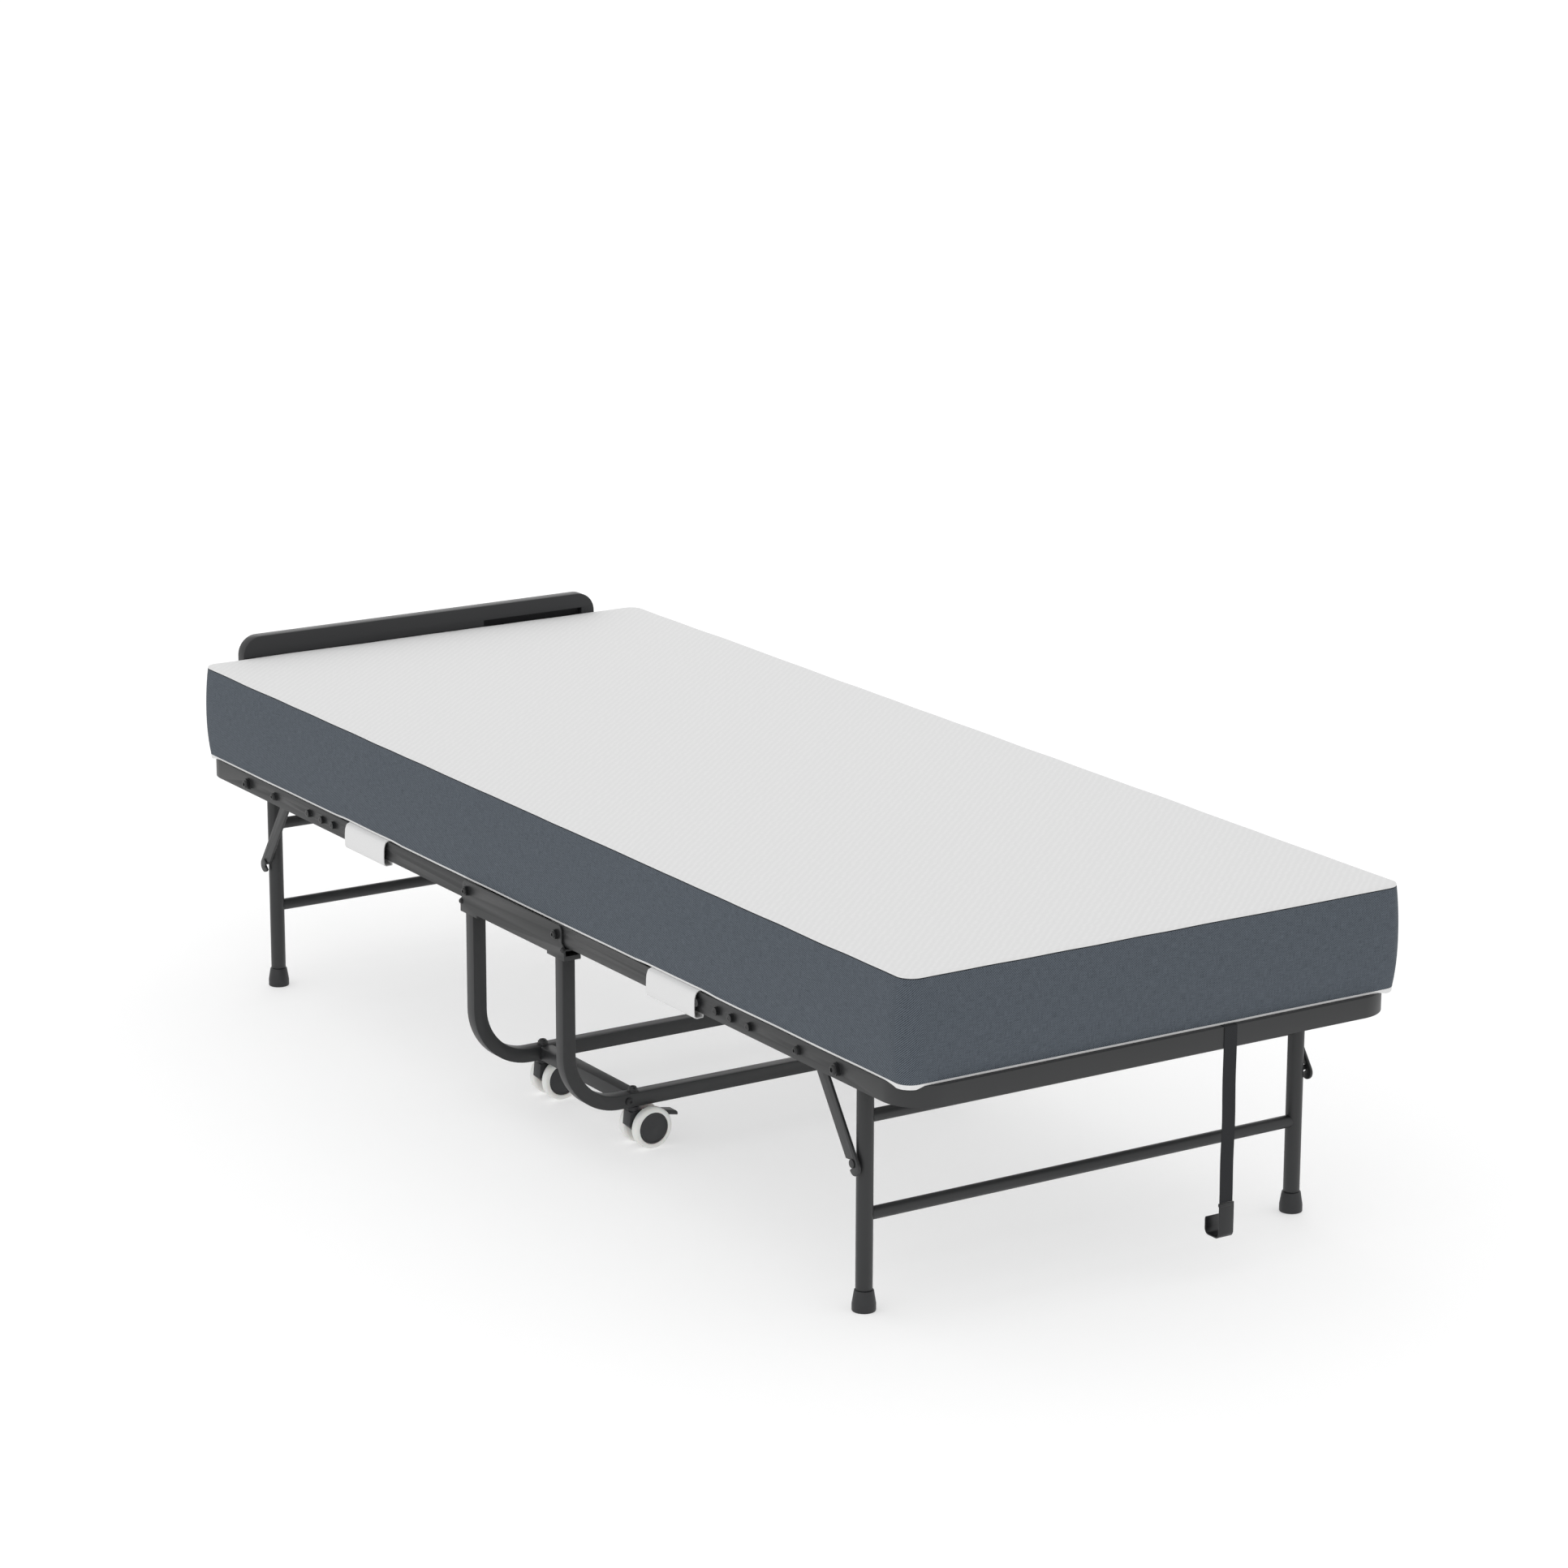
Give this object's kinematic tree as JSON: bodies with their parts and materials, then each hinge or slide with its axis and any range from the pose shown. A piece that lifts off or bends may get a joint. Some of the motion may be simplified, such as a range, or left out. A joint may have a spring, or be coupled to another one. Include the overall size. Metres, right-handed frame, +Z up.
{
  "type": "folding bed",
  "caption": "Folding guest bed with a foam mattress, hinged metal frame, wheeled centre base, fold-away braced legs and a low headboard.",
  "frame": {"origin": "on the floor under the middle of the whole bed, headboard included", "axes": "+X across the bed, +Y towards the headboard, +Z up"},
  "size_m": [0.7782, 1.9332, 0.51],
  "materials": {
    "frame_coat": "satin powder coat, charcoal grey",
    "dark_coat": "satin powder coat, dark charcoal",
    "bolt_steel": "black oxide",
    "black_plastic": "moulded, matt black",
    "wheel_plastic": "smooth off-white polyurethane tread",
    "side_cloth": "blue-grey melange twill",
    "white_cloth": "white woven cloth",
    "webbing": "black woven webbing",
    "hook_steel": "bent sheet steel, dark coat"
  },
  "bodies": {
    "base": {"head_wheel_loop": "dark_coat", "foot_wheel_loop": "dark_coat", "left_wheel_beam": "frame_coat", "right_wheel_beam": "frame_coat", "left_centre_bracket": "frame_coat", "right_centre_bracket": "frame_coat", "head_left_pivot_bolt": "bolt_steel", "head_right_pivot_bolt": "bolt_steel", "foot_left_pivot_bolt": "bolt_steel", "foot_right_pivot_bolt": "bolt_steel", "centre_mattress": "side_cloth"},
    "head_section": {"head_rail": "frame_coat", "head_deck": "dark_coat", "head_mattress": "side_cloth", "headboard": "dark_coat", "head_left_leg_bolt": "bolt_steel", "head_left_leg_clip": "bolt_steel", "head_left_band": "white_cloth", "head_right_leg_bolt": "bolt_steel", "head_right_leg_clip": "bolt_steel", "head_right_band": "white_cloth"},
    "head_legs": {"head_left_leg": "dark_coat", "head_right_leg": "dark_coat", "head_left_foot": "black_plastic", "head_right_foot": "black_plastic", "head_leg_bar_upper": "dark_coat", "head_leg_bar_lower": "dark_coat"},
    "head_left_arm": {"head_left_brace_arm": "frame_coat"},
    "head_left_caster": {"head_left_caster_housing": "black_plastic"},
    "head_left_wheels": {"head_left_caster_wheels": "wheel_plastic"},
    "head_left_brake": {"head_left_brake_pedal": "black_plastic"},
    "head_right_arm": {"head_right_brace_arm": "frame_coat"},
    "head_right_caster": {"head_right_caster_housing": "black_plastic"},
    "head_right_wheels": {"head_right_caster_wheels": "wheel_plastic"},
    "head_right_brake": {"head_right_brake_pedal": "black_plastic"},
    "foot_section": {"foot_rail": "frame_coat", "foot_deck": "dark_coat", "foot_mattress": "side_cloth", "foot_left_leg_bolt": "bolt_steel", "foot_left_leg_clip": "bolt_steel", "foot_left_band": "white_cloth", "foot_right_leg_bolt": "bolt_steel", "foot_right_leg_clip": "bolt_steel", "foot_right_band": "white_cloth"},
    "foot_legs": {"foot_left_leg": "dark_coat", "foot_right_leg": "dark_coat", "foot_left_foot": "black_plastic", "foot_right_foot": "black_plastic", "foot_leg_bar_upper": "dark_coat", "foot_leg_bar_lower": "dark_coat"},
    "foot_left_arm": {"foot_left_brace_arm": "frame_coat"},
    "foot_left_caster": {"foot_left_caster_housing": "black_plastic"},
    "foot_left_wheels": {"foot_left_caster_wheels": "wheel_plastic"},
    "foot_left_brake": {"foot_left_brake_pedal": "black_plastic"},
    "foot_right_arm": {"foot_right_brace_arm": "frame_coat"},
    "foot_right_caster": {"foot_right_caster_housing": "black_plastic"},
    "foot_right_wheels": {"foot_right_caster_wheels": "wheel_plastic"},
    "foot_right_brake": {"foot_right_brake_pedal": "black_plastic"},
    "strap": {"closing_strap": "webbing", "strap_hook": "hook_steel"}
  },
  "joints": [
    {"name": "head_fold", "type": "hinge", "parent": "base", "child": "head_section", "pos_m": [0, 0.11565, 0.32375], "axis": [1, 0, 0], "range_deg": [0, 90], "deforming": ["head_mattress", "centre_mattress"]},
    {"name": "foot_fold", "type": "hinge", "parent": "base", "child": "foot_section", "pos_m": [0, -0.13115, 0.32375], "axis": [-1, 0, 0], "range_deg": [0, 90], "deforming": ["foot_mattress", "centre_mattress"]},
    {"name": "head_legs_fold", "type": "hinge", "parent": "head_section", "child": "head_legs", "pos_m": [0, 0.79725, 0.32375], "axis": [-1, 0, 0], "range_deg": [0, 85]},
    {"name": "foot_legs_fold", "type": "hinge", "parent": "foot_section", "child": "foot_legs", "pos_m": [0, -0.81275, 0.32375], "axis": [1, 0, 0], "range_deg": [0, 85]},
    {"name": "head_left_arm_swing", "type": "hinge", "parent": "head_section", "child": "head_left_arm", "pos_m": [-0.35595, 0.70925, 0.32375], "axis": [1, 0, 0], "range_deg": [0, 42.5]},
    {"name": "head_right_arm_swing", "type": "hinge", "parent": "head_section", "child": "head_right_arm", "pos_m": [0.35595, 0.70925, 0.32375], "axis": [1, 0, 0], "range_deg": [0, 42.5]},
    {"name": "foot_left_arm_swing", "type": "hinge", "parent": "foot_section", "child": "foot_left_arm", "pos_m": [-0.35595, -0.72475, 0.32375], "axis": [-1, 0, 0], "range_deg": [0, 42.5]},
    {"name": "foot_right_arm_swing", "type": "hinge", "parent": "foot_section", "child": "foot_right_arm", "pos_m": [0.35595, -0.72475, 0.32375], "axis": [-1, 0, 0], "range_deg": [0, 42.5]},
    {"name": "head_left_caster_swivel", "type": "hinge", "parent": "base", "child": "head_left_caster", "pos_m": [-0.2657, 0.11565, 0.0605], "axis": [0, 0, 1], "continuous": true},
    {"name": "head_left_wheel_spin", "type": "hinge", "parent": "head_left_caster", "child": "head_left_wheels", "pos_m": [-0.2457, 0.11565, 0.0295], "axis": [0, 1, 0], "continuous": true},
    {"name": "head_left_brake_press", "type": "hinge", "parent": "head_left_caster", "child": "head_left_brake", "pos_m": [-0.2507, 0.11565, 0.046], "axis": [0, 1, 0], "range_deg": [0, 15]},
    {"name": "head_right_caster_swivel", "type": "hinge", "parent": "base", "child": "head_right_caster", "pos_m": [0.2657, 0.11565, 0.0605], "axis": [0, 0, 1], "continuous": true},
    {"name": "head_right_wheel_spin", "type": "hinge", "parent": "head_right_caster", "child": "head_right_wheels", "pos_m": [0.2457, 0.11565, 0.0295], "axis": [0, 1, 0], "continuous": true},
    {"name": "head_right_brake_press", "type": "hinge", "parent": "head_right_caster", "child": "head_right_brake", "pos_m": [0.2507, 0.11565, 0.046], "axis": [0, -1, 0], "range_deg": [0, 15]},
    {"name": "foot_left_caster_swivel", "type": "hinge", "parent": "base", "child": "foot_left_caster", "pos_m": [-0.2657, -0.13115, 0.0605], "axis": [0, 0, 1], "continuous": true},
    {"name": "foot_left_wheel_spin", "type": "hinge", "parent": "foot_left_caster", "child": "foot_left_wheels", "pos_m": [-0.2457, -0.13115, 0.0295], "axis": [0, 1, 0], "continuous": true},
    {"name": "foot_left_brake_press", "type": "hinge", "parent": "foot_left_caster", "child": "foot_left_brake", "pos_m": [-0.2507, -0.13115, 0.046], "axis": [0, 1, 0], "range_deg": [0, 15]},
    {"name": "foot_right_caster_swivel", "type": "hinge", "parent": "base", "child": "foot_right_caster", "pos_m": [0.2657, -0.13115, 0.0605], "axis": [0, 0, 1], "continuous": true},
    {"name": "foot_right_wheel_spin", "type": "hinge", "parent": "foot_right_caster", "child": "foot_right_wheels", "pos_m": [0.2457, -0.13115, 0.0295], "axis": [0, 1, 0], "continuous": true},
    {"name": "foot_right_brake_press", "type": "hinge", "parent": "foot_right_caster", "child": "foot_right_brake", "pos_m": [0.2507, -0.13115, 0.046], "axis": [0, -1, 0], "range_deg": [0, 15]},
    {"name": "strap_swing", "type": "hinge", "parent": "foot_section", "child": "strap", "pos_m": [0.108, -0.96605, 0.3097], "axis": [1, 0, 0], "range_deg": [0, 82]}
  ],
  "couplings": [
    {"joint": "head_left_arm_swing", "follows": "head_legs_fold", "ratio": 0.5},
    {"joint": "head_right_arm_swing", "follows": "head_legs_fold", "ratio": 0.5},
    {"joint": "foot_left_arm_swing", "follows": "foot_legs_fold", "ratio": 0.5},
    {"joint": "foot_right_arm_swing", "follows": "foot_legs_fold", "ratio": 0.5},
    {"joint": "strap_swing", "follows": "foot_legs_fold", "ratio": 0.964}
  ]
}
